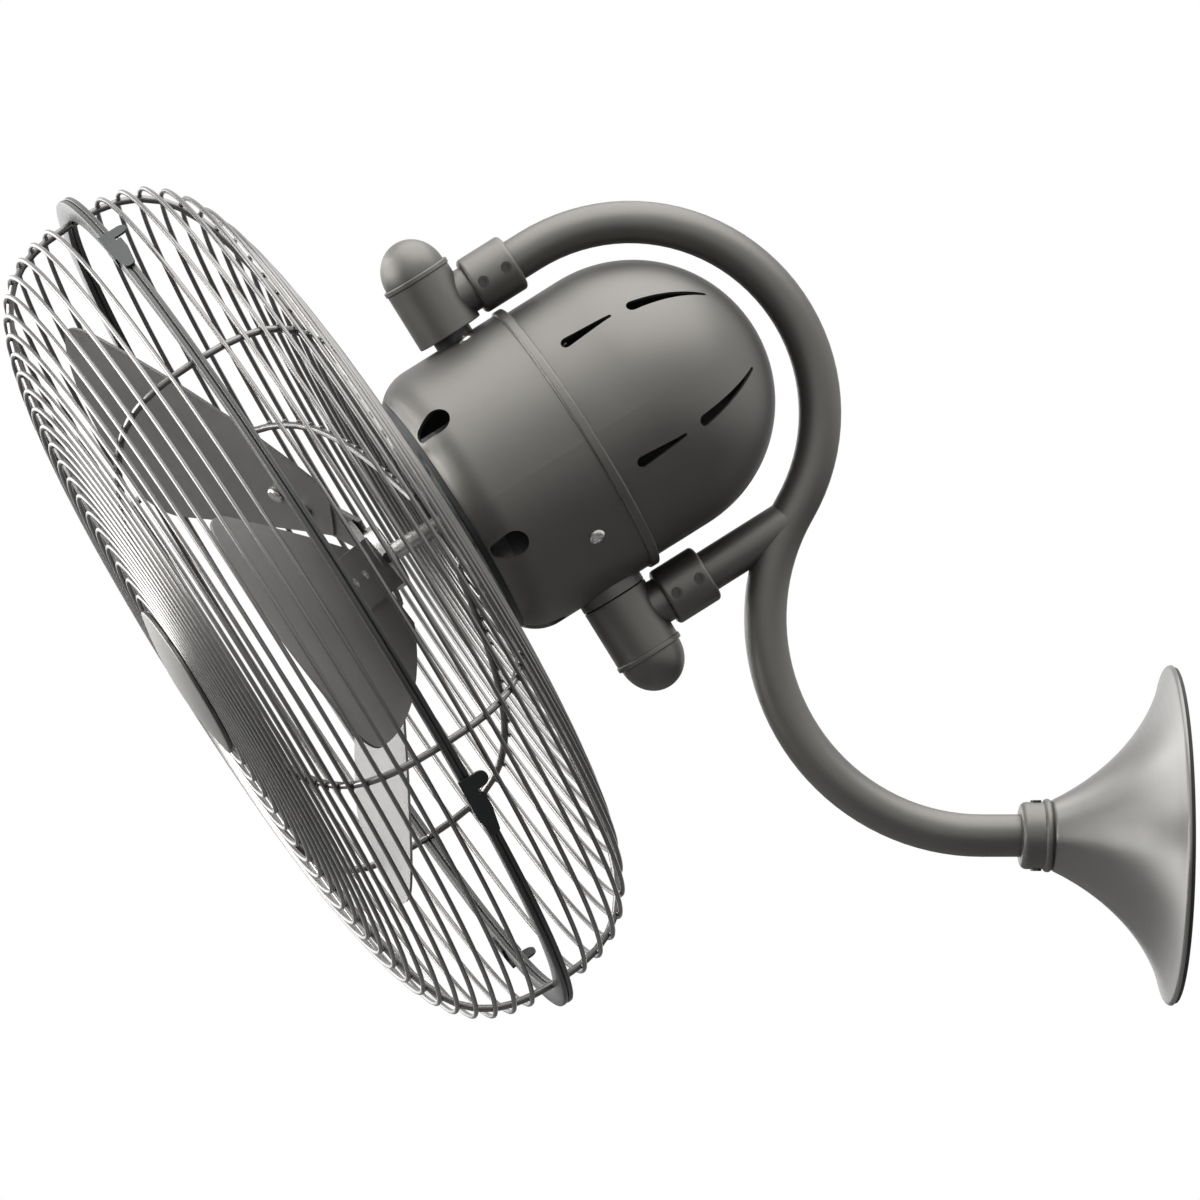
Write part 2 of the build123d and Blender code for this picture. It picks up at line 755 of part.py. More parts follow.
def blade_frame(radius):
    """The plane across the blade's middle line at a radius, with x along the blade's chord."""
    out = radius - blade_root_r
    pitch = radians(blade_root_pitch + blade_twist * out)
    place = blade_root_place + out * tan(radians(blade_cone))
    return Plane(origin=(radius, 0, place), x_dir=(0, cos(pitch), sin(pitch)), z_dir=(1, 0, 0))


def blade_sheet(thickness, back):
    """A cambered and twisted sheet, larger than the blade, at a distance behind the blade's middle."""
    half = blade_sheet_w / 2
    arc = ThreePointArc((-half, blade_camber - back), (0, -back), (half, blade_camber - back))
    section = trace(arc, line_width=thickness)
    far = blade_tip_r + blade_sheet_spare
    return loft([blade_frame(radius) * section for radius in (0, far / 2, far)])


def rivet_seats():
    """The planes on a blade's face where its rivets sit, square to the sloping sheet."""
    slope = Vector(cos(radians(blade_cone)), 0, sin(radians(blade_cone)))
    seats = []
    for i in range(rivet_count):
        frame = blade_frame(rivet_first + i * rivet_pitch)
        square = slope.cross(frame.x_dir)
        place = frame.origin + square * (blade_t / 2 + rivet_gap)
        seats.append(Plane(origin=place, x_dir=slope, z_dir=square))
    return seats


def rivet_holes():
    """Cutters for the rivets' shanks through a blade and its arm."""
    depth = 2 * (blade_t + spider_t)
    return group(seat * rod(rivet_r + seat_gap, -depth, depth) for seat in rivet_seats())


def blade():
    """One pressed blade: the sheet cut to the blade's outline, which is widest near its tip."""
    lead = Vector(blade_tip_r, 0).rotate(Axis.Z, blade_tip_angle)
    trail = Vector(blade_trail_r, 0).rotate(Axis.Z, blade_trail_angle)
    root_lead = Vector(blade_root_r, -blade_root_lead)
    root_trail = Vector(blade_root_r, blade_root_trail)
    tip_side = SagittaArc(lead, trail, -blade_tip_bow)
    lead_side = SagittaArc(root_lead, lead, -blade_lead_bow)
    outline = make_face([lead_side, tip_side, Polyline(trail, root_trail, root_lead)])
    outline = fillet(outline.vertices().sort_by(Axis.X)[-2:], blade_corner_r)
    sheet = blade_sheet(blade_t, 0) & extrude(outline, 2 * rim_plane)
    return sheet - rivet_holes()


def blade_spider():
    """The carrier on the hub: a disc with three pitched arms that the blades are riveted to."""
    spider = rod(spider_disc_r, hub_front, spider_front)
    arm = Pos((hub_r + spider_arm_reach) / 2, 0) * Rectangle(spider_arm_reach - hub_r, spider_arm_w)
    sheet = blade_sheet(spider_t, (blade_t + spider_t) / 2 + blade_gap)
    arm = (sheet & extrude(arm, 2 * rim_plane)) - rivet_holes()
    for turn in around(blade_count, blade_angle):
        spider += turn * arm
    return spider - rod(hub_r + seat_gap, hub_back, hub_front) - rod(shaft_r + press_fit, hub_front, spider_front)


def blade_rivets():
    """Rivets through the spider's arms, with their heads on the blades."""
    head = fillet(rod(rivet_head_r, 0, rivet_head_h).edges().group_by(Axis.Z)[-1], rivet_head_h * 0.8)
    rivet = head + rod(rivet_r, -blade_t - blade_gap - spider_t, 0)
    turns = around(blade_count, blade_angle)
    return group(turn * (seat * rivet) for turn in turns for seat in rivet_seats())


# ---------------------------------------------------------------- guards
def front_profile():
    """The front guard's outline, radius against the distance ahead of the rim."""
    hip = (rim_r, front_side_pull)
    brow = (badge_ring_r + front_face_pull, front_depth + front_face_rise)
    return Bezier((rim_r, 0), hip, brow, (badge_ring_r, front_depth))


def rear_profile():
    """The rear guard's outline, radius against the distance behind the rim."""
    hip = (rim_r, rear_side_pull)
    brow = (plate_ring_r + rear_face_pull, rear_depth + rear_face_rise)
    return Bezier((rim_r, 0), hip, brow, (plate_ring_r, rear_depth))


def ring(radius, height, wire):
    """A closed ring of square wire. The middles of some sides lie on the ribs."""
    sides = 24 if radius > rim_r / 2 else 18 if radius > rim_r / 4 else 12
    outer = RegularPolygon(radius + wire / 2, sides, major_radius=False)
    inner = RegularPolygon(radius - wire / 2, sides, major_radius=False)
    turn = Rot(0, 0, rib_angle + 180 / sides)
    return turn * Pos(0, 0, height - wire / 2) * extrude(outer - inner, wire)


def rib(places):
    """One rib along the inside of the rings, from points and outward directions of the outline."""
    outer = [point - out * (guard_wire / 2 - rib_sink) for point, out in places]
    inner = [point - out * (guard_wire / 2 - rib_sink + guard_rib) for point, out in places]
    corners = [(point.X, point.Y) for point in outer + inner[::-1]]
    strip = Rot(90, 0, 0) * make_face(Polyline(*corners, close=True))
    return extrude(strip, guard_rib / 2, both=True)


def guard(profile, count):
    """Rings along a profile, a flat rim bar and the ribs, welded together."""
    start = first_ring / profile.length
    shares = [start + (1 - start) * i / (count - 1) for i in range(count)]
    places = [(profile @ 0 + Vector(0, rim_half_w - rim_bar_t / 2), Vector(1, 0))]
    low = guard_gap / 2
    rings = [rod(rim_out_r, low, rim_half_w) - rod(rim_in_r, low, rim_half_w)]
    for share in shares:
        point = profile @ share
        along = profile % share
        places.append((point, Vector(along.Y, -along.X)))
        rings.append(ring(point.X, point.Y, guard_wire))
    bars = [turn * rib(places) for turn in around(rib_count, rib_angle)]
    return rings[0].fuse(*rings[1:], *bars)


def front_guard():
    return Pos(0, 0, rim_plane) * guard(front_profile(), front_ring_count)


def rear_guard():
    return Pos(0, 0, rim_plane) * mirror(guard(rear_profile(), rear_ring_count), Plane.XY)


def rim_band():
    """The thin strip that lies between the two guards' rim bars, a little below their edges."""
    half = guard_gap / 2 - band_gap
    strip = rod(rim_out_r - band_inset, -half, half) - rod(rim_in_r + band_inset, -half, half)
    return Pos(0, 0, rim_plane) * strip


def guard_badge():
    """The plain dome in the middle of the front guard."""
    under = front_depth + guard_wire / 2
    sphere_r = (badge_r**2 + (badge_h - badge_edge) ** 2) / (2 * (badge_h - badge_edge))
    crown = CenterArc((0, badge_h - sphere_r), sphere_r, 90, -degrees(asin(badge_r / sphere_r)))
    corners = Polyline(crown @ 1, (badge_r, 0), (0, 0), crown @ 0)
    return Pos(0, 0, rim_plane + under) * spun(make_face([crown, corners]))


def rear_guard_plate():
    plate = rod(guard_plate_r, plate_front, guard_plate_front)
    plate -= rod(guard_plate_bore_r, plate_front, guard_plate_front)
    for turn in around(guard_screw_count, guard_screw_angle):
        plate -= turn * rod(guard_screw_r + seat_gap, plate_front, guard_plate_front, guard_screw_circle_r)
    return plate


def guard_screws():
    length = guard_plate_t + front_plate_t + bell_skin - seat_gap
    screw = cross_screw(guard_screw_r, length, guard_screw_head_r, guard_screw_head_h)
    place = Pos(guard_screw_circle_r, 0, guard_plate_front)
    return group(turn * place * screw for turn in around(guard_screw_count, guard_screw_angle))


def clip_outline():
    """A clip laid flat, with x along the rim and y forward: a body, its tail and the rounded finger."""
    front = rim_half_w + clip_gap + clip_t
    half = clip_length / 2
    middle = (front - clip_back) / 2
    body = Pos(clip_grip / 2, middle) * Rectangle(clip_length - clip_grip, front + clip_back)
    tail = Pos(clip_tail_r - half, middle) * Circle(clip_tail_r)
    lobe_r = clip_lobe_w / 2
    lobe = Pos(half - lobe_r, lobe_r - clip_lobe_back) * Circle(lobe_r)
    lobe += Pos(half - lobe_r, (lobe_r - clip_lobe_back) / 2) * Rectangle(clip_lobe_w, clip_lobe_back - lobe_r)
    notch = Pos(half - clip_lobe_w - clip_notch_w / 2, clip_notch_in / 2 - clip_back) * Rectangle(
        clip_notch_w, clip_notch_in
    )
    return make_hull(body.edges() + tail.edges()) + lobe - notch


def guard_clips():
    """Four sheet clips that hold the two rim bars together, bent over both of them."""
    inside = rim_out_r + clip_gap
    side = rim_half_w + clip_gap
    wall = rod(inside + clip_t, -rim_plane, rim_plane) - rod(inside, -rim_plane, rim_plane)
    sheet = wall & Rot(90, 0, 0) * Rot(0, 90, 0) * extrude(clip_outline(), 2 * inside)
    flange = rod(inside + clip_t, side, side + clip_t) - rod(rim_out_r - clip_reach, side, side + clip_t)
    grip = Pos(inside, 0, 0) * Box(4 * clip_reach, clip_grip, 2 * rim_plane)
    clip = sheet + (flange & grip) + (Pos(0, 0, -2 * side - clip_t) * flange & grip)
    return group(Pos(0, 0, rim_plane) * turn * clip for turn in around(clip_count, clip_angle))


# ---------------------------------------------------------------- the whole fan
def parts():
    """Every node by name, as the frame it is drawn in and its shape."""
    return {
        "wall_gasket": (WALL, wall_gasket()),
        "mounting_plate": (WALL, mounting_plate()),
        "canopy": (WALL, canopy()),
        "collar": (WALL, collar()),
        "collar_screws": (WALL, collar_screws()),
        "arm_tube": (Plane.XY, arm_tube()),
        "arm_branch": (Plane.XY, arm_branch()),
        "upper_coupler": (HEAD, coupler()),
        "lower_coupler": (HEAD, below(coupler())),
        "coupler_screws": (HEAD, coupler_screws()),
        "upper_knuckle": (HEAD, knuckle()),
        "lower_knuckle": (HEAD, below(knuckle())),
        "upper_cap": (HEAD, cap()),
        "lower_cap": (HEAD, below(cap())),
        "upper_pivot_pin": (HEAD, pivot_pin(lever_low)),
        "lower_pivot_pin": (HEAD, below(pivot_pin(boss_low))),
        "slotted_lever": (HEAD, slotted_lever()),
        "front_shell": (HEAD, front_shell()),
        "rear_shell": (HEAD, rear_shell()),
        "front_plate": (HEAD, front_plate()),
        "shell_screws": (HEAD, shell_screws()),
        "pivot_ring": (HEAD, pivot_ring()),
        "upper_bush": (HEAD, bush()),
        "lower_bush": (HEAD, below(bush())),
        "stator_core": (HEAD, stator_core()),
        "stator_windings": (HEAD, stator_windings()),
        "front_end_bell": (HEAD, front_end_bell()),
        "rear_end_bell": (HEAD, rear_end_bell()),
        "bearings": (HEAD, bearings()),
        "motor_bolts": (HEAD, motor_bolts()),
        "run_capacitor": (HEAD, run_capacitor()),
        "sweep_motor": (HEAD, sweep_motor()),
        "sweep_crank": (HEAD, sweep_crank()),
        "rear_guard": (HEAD, rear_guard()),
        "front_guard": (HEAD, front_guard()),
        "rim_band": (HEAD, rim_band()),
        "guard_clips": (HEAD, guard_clips()),
        "guard_badge": (HEAD, guard_badge()),
        "rear_guard_plate": (HEAD, rear_guard_plate()),
        "guard_screws": (HEAD, guard_screws()),
        "motor_shaft": (HEAD, motor_shaft()),
        "rotor_core": (HEAD, rotor_core()),
        "blade_hub": (HEAD, blade_hub()),
        "hub_screw": (HEAD, hub_screw()),
        "blade_spider": (HEAD, blade_spider()),
        "blade_rivets": (HEAD, blade_rivets()),
    }


def main():
    os.makedirs("parts", exist_ok=True)
    nodes = parts()
    for number, turn in enumerate(around(blade_count, blade_angle), start=1):
        nodes[f"blade_{number}"] = (HEAD, turn * blade())
    for name, (frame, shape) in nodes.items():
        export_step(frame * shape, os.path.join("parts", name + ".step"))


main()
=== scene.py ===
import json
from math import asin, cos, pi, radians, sin

import bmesh
import bpy
import numpy as np
from mathutils import Matrix, Vector


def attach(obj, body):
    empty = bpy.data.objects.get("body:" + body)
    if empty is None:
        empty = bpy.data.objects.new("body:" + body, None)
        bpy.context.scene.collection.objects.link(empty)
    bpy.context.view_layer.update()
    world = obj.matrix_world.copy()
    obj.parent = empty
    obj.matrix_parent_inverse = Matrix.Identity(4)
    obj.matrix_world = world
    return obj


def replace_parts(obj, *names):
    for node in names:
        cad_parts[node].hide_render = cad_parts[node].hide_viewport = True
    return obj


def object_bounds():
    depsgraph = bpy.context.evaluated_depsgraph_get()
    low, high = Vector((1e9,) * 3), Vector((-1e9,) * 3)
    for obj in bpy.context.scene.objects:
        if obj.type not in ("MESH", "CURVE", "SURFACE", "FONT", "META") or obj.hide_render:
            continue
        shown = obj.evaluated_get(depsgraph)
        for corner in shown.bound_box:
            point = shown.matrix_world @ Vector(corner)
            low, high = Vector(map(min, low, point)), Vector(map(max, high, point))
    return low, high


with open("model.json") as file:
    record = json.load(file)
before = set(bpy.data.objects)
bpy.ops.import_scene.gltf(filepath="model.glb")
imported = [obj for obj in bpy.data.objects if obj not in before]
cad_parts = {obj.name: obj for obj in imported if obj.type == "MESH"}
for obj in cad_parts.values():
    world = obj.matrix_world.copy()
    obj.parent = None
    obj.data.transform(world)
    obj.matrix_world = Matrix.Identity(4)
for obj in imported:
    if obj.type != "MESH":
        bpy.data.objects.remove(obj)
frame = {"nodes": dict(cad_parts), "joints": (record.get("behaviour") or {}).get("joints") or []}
cad_box = [list(corner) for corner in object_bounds()]

MM = 0.001

# ---------------------------------------- guards and badge, in millimetres and degrees
rim_plane = 115.0
rim_r = 203.0
rim_bar_in = 2.2
rim_bar_w = 10.0
rim_bar_t = 2.15
rim_edge = 0.5
guard_wire = 2.2
guard_rib = 3.4
rib_sink = 0.6
guard_gap = 0.7
rib_count = 6
rib_angle = 38.5
first_ring = 13.8
front_ring_count = 23
front_outline = dict(inner_r=35.0, depth=65.0, side_pull=50.0, face_pull=150.0, face_rise=-1.0)
rear_ring_count = 20
rear_outline = dict(inner_r=38.0, depth=66.9, side_pull=51.0, face_pull=140.0, face_rise=-4.0)
weld_r = 1.5
weld_height_share = 0.8
weld_aside_share = 0.36
badge_r = 37.0
badge_h = 5.5
badge_edge = 1.5
badge_round = 0.15

# ---------------------------------------- wall bell, in millimetres and degrees
gasket_t = 1.6
seat_gap = 0.1
bell_r = 76.0
bell_wall = 1.2
bell_depth = 55.5
bell_throat_r = 16.0
bell_neck_r = 10.0
throat_lean = 25.0
throat_pull = 15.5
bell_lip_r = 1.5
bell_lip_turn = 76.0
lip_pull = 35.5

# ---------------------------------------- fineness of the meshes
ring_steps = 180
spun_steps = 240
wire_sides = 10
cap_leans = (0.4, 0.8, 1.2)
profile_steps = 400
tangent_reach = 0.5
corner_steps = 4
badge_steps = 24
bell_steps = 60
lip_steps = 10
merge_distance = 0.001

# ---------------------------------------- local frames
# The head's z axis is the fan's axis and its y axis the pivot line. The wall's z axis points into the room.
joints = {joint["name"]: joint for joint in frame["joints"]}
pivot_up = Vector(joints["head_sweep"]["axis"]).normalized()
fan_forward = Vector(joints["rotor_spin"]["axis"]).normalized()
head_side = pivot_up.cross(fan_forward)
head_axes = Matrix((head_side, pivot_up, fan_forward)).transposed().to_4x4()
HEAD = Matrix.Translation(Vector(joints["head_sweep"]["pos_m"])) @ head_axes
WALL = Matrix(((1, 0, 0), (0, 0, 1), (0, -1, 0))).transposed().to_4x4()

# ---------------------------------------- camera, lights and stage, in metres and watts
sensor_width = 36.0
view_azimuth = radians(84.0)
view_middle = Vector((0.0, -0.2578, 0.105))
view_width = 0.534
camera_away = 12.0
lights = {
    "key": dict(place=(0.1, -0.2, 2.2), size=(3.6, 3.6), power=136.0),
    "front": dict(place=(-0.4, -2.6, 0.35), size=(3.2, 1.8), power=210.0),
    "low": dict(place=(-2.3, -1.5, 0.1), size=(1.4, 1.4), power=14.0),
    "side": dict(place=(2.6, -0.6, 1.2), size=(1.8, 1.8), power=2.0),
    "rim": dict(place=(-0.1, 2.6, 0.7), size=(2.2, 2.2), power=5.0),
}
room_colour = (0.9, 0.95, 1.0, 1)
room_strength = 0.11
white_colour = (1, 1, 1, 1)
stage_size = 14.0
floor_drop = 1.2
floor_bounce = (0.2, 0.2, 0.2, 1)
floor_glow = (0.78, 0.78, 0.78, 1)
floor_roughness = 0.9


def add_camera():
    data = bpy.data.cameras.new("camera")
    data.sensor_width = sensor_width
    data.lens = sensor_width * camera_away / view_width
    camera = bpy.data.objects.new("camera", data)
    bpy.context.scene.collection.objects.link(camera)
    away = Vector((sin(view_azimuth), -cos(view_azimuth), 0.0))
    camera.location = view_middle + away * camera_away
    camera.rotation_euler = (-away).to_track_quat("-Z", "Y").to_euler()
    bpy.context.scene.camera = camera
    bpy.context.scene.view_settings.view_transform = "Standard"


def add_light(name, place, size, power):
    data = bpy.data.lights.new(name, "AREA")
    data.shape = "RECTANGLE"
    data.size, data.size_y = size
    data.energy = power
    light = bpy.data.objects.new(name, data)
    bpy.context.scene.collection.objects.link(light)
    light.location = place
    light.rotation_euler = (view_middle - Vector(place)).to_track_quat("-Z", "Y").to_euler()


def set_inputs(tree, node, inputs):
    """Links each socket to the output that is given for it, or sets it to the value."""
    for socket, value in inputs.items():
        if isinstance(value, bpy.types.NodeSocket):
            tree.links.new(value, node.inputs[socket])
        else:
            node.inputs[socket].default_value = value


def add_node(tree, kind, inputs=None, **settings):
    node = tree.nodes.new("ShaderNode" + kind)
    for name, value in settings.items():
        setattr(node, name, value)
    set_inputs(tree, node, inputs or {})
    return node


def seen_rays(tree):
    """One for the rays that show the background: to the camera, in gloss and through glass."""
    path = add_node(tree, "LightPath")
    seen = path.outputs["Is Camera Ray"]
    for ray in ("Is Glossy Ray", "Is Transmission Ray"):
        seen = add_node(tree, "Math", {0: seen, 1: path.outputs[ray]}, operation="MAXIMUM").outputs[0]
    return seen


def add_world():
    """A dim room that lights the object, and white where the background is seen."""
    world = bpy.data.worlds.new("studio")
    bpy.context.scene.world = world
    world.use_nodes = True
    tree = world.node_tree
    tree.nodes.clear()
    room = add_node(tree, "Background", {"Color": room_colour, "Strength": room_strength})
    white = add_node(tree, "Background", {"Color": white_colour})
    mix = add_node(tree, "MixShader", {0: seen_rays(tree), 1: room.outputs[0], 2: white.outputs[0]})
    add_node(tree, "OutputWorld", {"Surface": mix.outputs[0]})


def add_floor():
    """A floor that reflects little light, with a pale glow that only the camera's rays see."""
    half = stage_size / 2
    floor_z = cad_box[0][2] - floor_drop
    mesh = bpy.data.meshes.new("floor")
    corners = [(x * half, y * half, floor_z) for x, y in ((-1, -1), (1, -1), (1, 1), (-1, 1))]
    mesh.from_pydata(corners, [], [(0, 1, 2, 3)])
    floor = bpy.data.objects.new("floor", mesh)
    bpy.context.scene.collection.objects.link(floor)
    paint = bpy.data.materials.new("studio_floor")
    paint.use_nodes = True
    tree = paint.node_tree
    set_inputs(tree, tree.nodes["Principled BSDF"], {
        "Base Color": floor_bounce,
        "Roughness": floor_roughness,
        "Emission Color": floor_glow,
        "Emission Strength": add_node(tree, "LightPath").outputs["Is Camera Ray"],
    })
    mesh.materials.append(paint)


# ---------------------------------------- materials
noise_detail = 3.0
noise_middle = (0.3, 0.7)
slow_scale = 18.0
roughness_sway = 0.03
bump_distance = 0.0002
brushing = 0.7
quarter_turn = 0.25
terminator_offset = 1.0

pewter_satin = (0.125, 0.12, 0.112)
pewter_spun = (0.17, 0.165, 0.157)
pewter_sheen = (0.15, 0.145, 0.14)
# Painted shade: the rim bars are the same pewter as the wires, darkened to stand in for the shade they sit
# in.
pewter_shaded = (0.06, 0.06, 0.058)
finish_looks = {
    "pewter_metal": dict(base=pewter_satin, metallic=0.85, roughness=0.48, bump=0.12),
    "pewter_bell": dict(base=pewter_spun, metallic=0.92, roughness=0.42, grain=1400.0, bump=0.12, spun=True),
    "pewter_wire": dict(base=pewter_sheen, metallic=0.92, roughness=0.32, grain=2400.0, bump=0.04),
    "pewter_rim_shaded": dict(base=pewter_shaded, metallic=0.9, roughness=0.4, grain=2400.0, bump=0.04),
    "pewter_blade": dict(base=pewter_sheen, metallic=0.85, roughness=0.5, grain=1800.0, bump=0.05),
    "black_metal": dict(base=(0.012, 0.013, 0.013), metallic=0.3, roughness=0.42, contrast=0.3),
    "set_screw": dict(base=(0.05, 0.05, 0.048), metallic=1.0, roughness=0.25, contrast=0.2),
    "black_nylon": dict(base=(0.014, 0.014, 0.015), metallic=0.0, roughness=0.45, contrast=0.25),
    "bright_steel": dict(base=(0.55, 0.54, 0.52), metallic=1.0, roughness=0.28),
    "lamination_steel": dict(base=(0.36, 0.36, 0.37), metallic=1.0, roughness=0.5, squeeze=(1, 8, 1)),
    "cast_aluminium": dict(base=(0.62, 0.62, 0.63), metallic=0.9, roughness=0.5, grain=700.0, bump=0.3),
    "copper_winding": dict(
        base=(0.55, 0.25, 0.10), metallic=0.8, roughness=0.4, squeeze=(1, 6, 6), grain=900.0, bump=0.4
    ),
    "foam_rubber": dict(
        base=(0.03, 0.03, 0.03), metallic=0.0, roughness=0.85, grain=500.0, bump=0.5, contrast=0.3
    ),
}

finish_nodes = {
    "pewter_metal": (
        "collar", "arm_tube", "arm_branch", "upper_coupler", "lower_coupler", "upper_knuckle",
        "lower_knuckle", "upper_cap", "lower_cap", "front_shell", "rear_shell", "guard_badge",
        "rear_guard_plate",
    ),
    "pewter_bell": ("canopy",),
    "pewter_wire": ("rear_guard", "front_guard"),
    "pewter_blade": ("blade_spider", "blade_1", "blade_2", "blade_3"),
    "black_metal": ("front_plate", "guard_clips", "hub_screw"),
    "set_screw": ("collar_screws", "coupler_screws"),
    "black_nylon": ("upper_bush", "lower_bush", "run_capacitor", "sweep_crank"),
    "bright_steel": (
        "mounting_plate", "upper_pivot_pin", "lower_pivot_pin", "slotted_lever", "shell_screws", "bearings",
        "motor_bolts", "sweep_motor", "guard_screws", "motor_shaft", "blade_hub", "blade_rivets",
    ),
    "lamination_steel": ("stator_core", "rotor_core"),
    "cast_aluminium": ("pivot_ring", "front_end_bell", "rear_end_bell"),
    "copper_winding": ("stator_windings",),
    "foam_rubber": ("wall_gasket", "rim_band"),
}


def noise(tree, vector, scale):
    texture = add_node(tree, "TexNoise", {"Scale": scale, "Detail": noise_detail, "Vector": vector})
    return texture.outputs["Fac"]


def spread(tree, factor, low, high):
    """Maps the middle of a noise onto a range."""
    from_min, from_max = noise_middle
    ends = {"From Min": from_min, "From Max": from_max, "To Min": low, "To Max": high}
    return add_node(tree, "MapRange", {**ends, "Value": factor}).outputs[0]


def round_place(tree, place):
    """The distance from the y axis and the place along it, for the fine lines of a spun sheet."""
    parts = add_node(tree, "SeparateXYZ", {0: place})
    flat = add_node(tree, "CombineXYZ", {"X": parts.outputs["X"], "Y": parts.outputs["Z"]})
    length = add_node(tree, "VectorMath", {0: flat.outputs[0]}, operation="LENGTH")
    line = add_node(tree, "CombineXYZ", {"X": length.outputs["Value"], "Y": parts.outputs["Y"]})
    return line.outputs[0]


def finish(name, base, metallic, roughness, squeeze=(1, 1, 1), grain=1600.0, bump=0.08, contrast=0.07,
           spun=False):
    """A finish with a fine grain that can be squeezed along an axis, and slow changes of tone and gloss."""
    surface = bpy.data.materials.new(name)
    surface.use_nodes = True
    tree = surface.node_tree
    shader = tree.nodes["Principled BSDF"]
    place = add_node(tree, "TexCoord").outputs["Object"]
    grain_place = round_place(tree, place) if spun else place
    squeezed = add_node(tree, "Mapping", {"Scale": squeeze, "Vector": grain_place})
    fine = noise(tree, squeezed.outputs[0], grain)
    slow = noise(tree, place, slow_scale)
    tint = add_node(tree, "Mix", {
        "A": (*(channel * (1 - contrast) for channel in base), 1),
        "B": (*(channel * (1 + contrast) for channel in base), 1),
        "Factor": spread(tree, slow, 0.0, 1.0),
    }, data_type="RGBA")
    gloss = add_node(tree, "Math", {
        0: spread(tree, slow, roughness - roughness_sway, roughness + roughness_sway),
        1: spread(tree, fine, -roughness_sway, roughness_sway),
    }, operation="ADD")
    relief = add_node(tree, "Bump", {"Strength": bump, "Distance": bump_distance, "Height": fine})
    set_inputs(tree, shader, {
        "Base Color": tint.outputs["Result"],
        "Metallic": metallic,
        "Roughness": gloss.outputs[0],
        "Normal": relief.outputs["Normal"],
    })
    if spun:
        round_axis = add_node(tree, "Tangent", direction_type="RADIAL", axis="Y")
        set_inputs(tree, shader, {
            "Anisotropic": brushing,
            "Anisotropic Rotation": quarter_turn,
            "Tangent": round_axis.outputs[0],
        })
    return surface


def dress_nodes():
    """Gives each CAD node its finish, and keeps its mesh's facets out of the edge of its shading."""
    node_finishes = {node: name for name, nodes in finish_nodes.items() for node in nodes}
    for name, node in frame["nodes"].items():
        node.cycles.shadow_terminator_geometry_offset = terminator_offset
        node.data.materials.clear()
        node.data.materials.append(finishes[node_finishes[name]])


# ---------------------------------------- lines and outlines
def bezier(ends, steps):
    """Points of a cubic curve, radius against height."""
    share = np.linspace(0.0, 1.0, steps)[:, None]
    start, pull, push, end = (np.array(point, float) for point in ends)
    return (
        (1 - share) ** 3 * start
        + 3 * (1 - share) ** 2 * share * pull
        + 3 * (1 - share) * share**2 * push
        + share**3 * end
    )


def arc(centre, radius, first, last, steps):
    turn = np.linspace(first, last, steps)
    return np.array(centre) + radius * np.stack([np.cos(turn), np.sin(turn)], axis=1)


def guard_profile(inner_r, depth, side_pull, face_pull, face_rise):
    """A guard's outline from the rim to its inmost ring, radius against distance from the rim's plane."""
    hip = (rim_r, side_pull)
    brow = (inner_r + face_pull, depth + face_rise)
    return bezier([(rim_r, 0), hip, brow, (inner_r, depth)], profile_steps)


def places_along(profile, count):
    """Points and outward directions at even steps along an outline, from the first ring on."""
    steps = np.linalg.norm(np.diff(profile, axis=0), axis=1)
    length = np.concatenate([[0], np.cumsum(steps)])
    wanted = np.linspace(first_ring, length[-1], count)

    def at(places):
        return np.stack([np.interp(places, length, profile[:, i]) for i in (0, 1)], axis=1)

    along = at(wanted + tangent_reach) - at(wanted - tangent_reach)
    along /= np.linalg.norm(along, axis=1)[:, None]
    return at(wanted), np.stack([along[:, 1], -along[:, 0]], axis=1)


def rounded_box(low_r, high_r, low, high, edge):
    """The outline of a flat bar with rounded corners, radius against height."""
    corners = [(high_r - edge, high - edge), (low_r + edge, high - edge)]
    corners += [(low_r + edge, low + edge), (high_r - edge, low + edge)]
    quarters = [
        arc(corner, edge, i * pi / 2, (i + 1) * pi / 2, corner_steps) for i, corner in enumerate(corners)
    ]
    return np.concatenate(quarters)


def bell_line():
    """The middle of the bell's wall, radius against height, from the neck to the lip."""
    half = bell_wall / 2
    lean = radians(throat_lean)
    turn = radians(bell_lip_turn)
    throat = np.array([bell_throat_r - half, bell_depth - half])
    middle = np.array([bell_r - half - bell_lip_r, gasket_t + seat_gap])
    lip = arc(middle, bell_lip_r, turn, 0, lip_steps)
    waist = throat + throat_pull * np.array([sin(lean), -cos(lean)])
    hip = lip[0] - lip_pull * np.array([sin(turn), -cos(turn)])
    neck = [[bell_neck_r, bell_depth - half], [bell_throat_r - 2 * bell_wall, bell_depth - half]]
    return np.concatenate([neck, bezier([throat, waist, hip, lip[0]], bell_steps), lip[1:]])


def thickened(line, wall):
    """The closed outline of a sheet of even thickness along a line."""
    along = np.gradient(line, axis=0)
    along /= np.linalg.norm(along, axis=1)[:, None]
    square = np.stack([-along[:, 1], along[:, 0]], axis=1)
    return np.concatenate([line + square * wall / 2, (line - square * wall / 2)[::-1]])


def badge_outline():
    """The badge's dome, side and flat back, radius against height."""
    crown_h = badge_h - badge_edge
    sphere_r = (badge_r**2 + crown_h**2) / (2 * crown_h)
    lean = asin(badge_r / sphere_r)
    crown = arc((0, badge_h - sphere_r), sphere_r, pi / 2, pi / 2 - lean, badge_steps)
    side = [(badge_r, badge_edge - badge_round), (badge_r, badge_round), (badge_r - badge_round, 0), (0, 0)]
    return np.concatenate([crown, side])


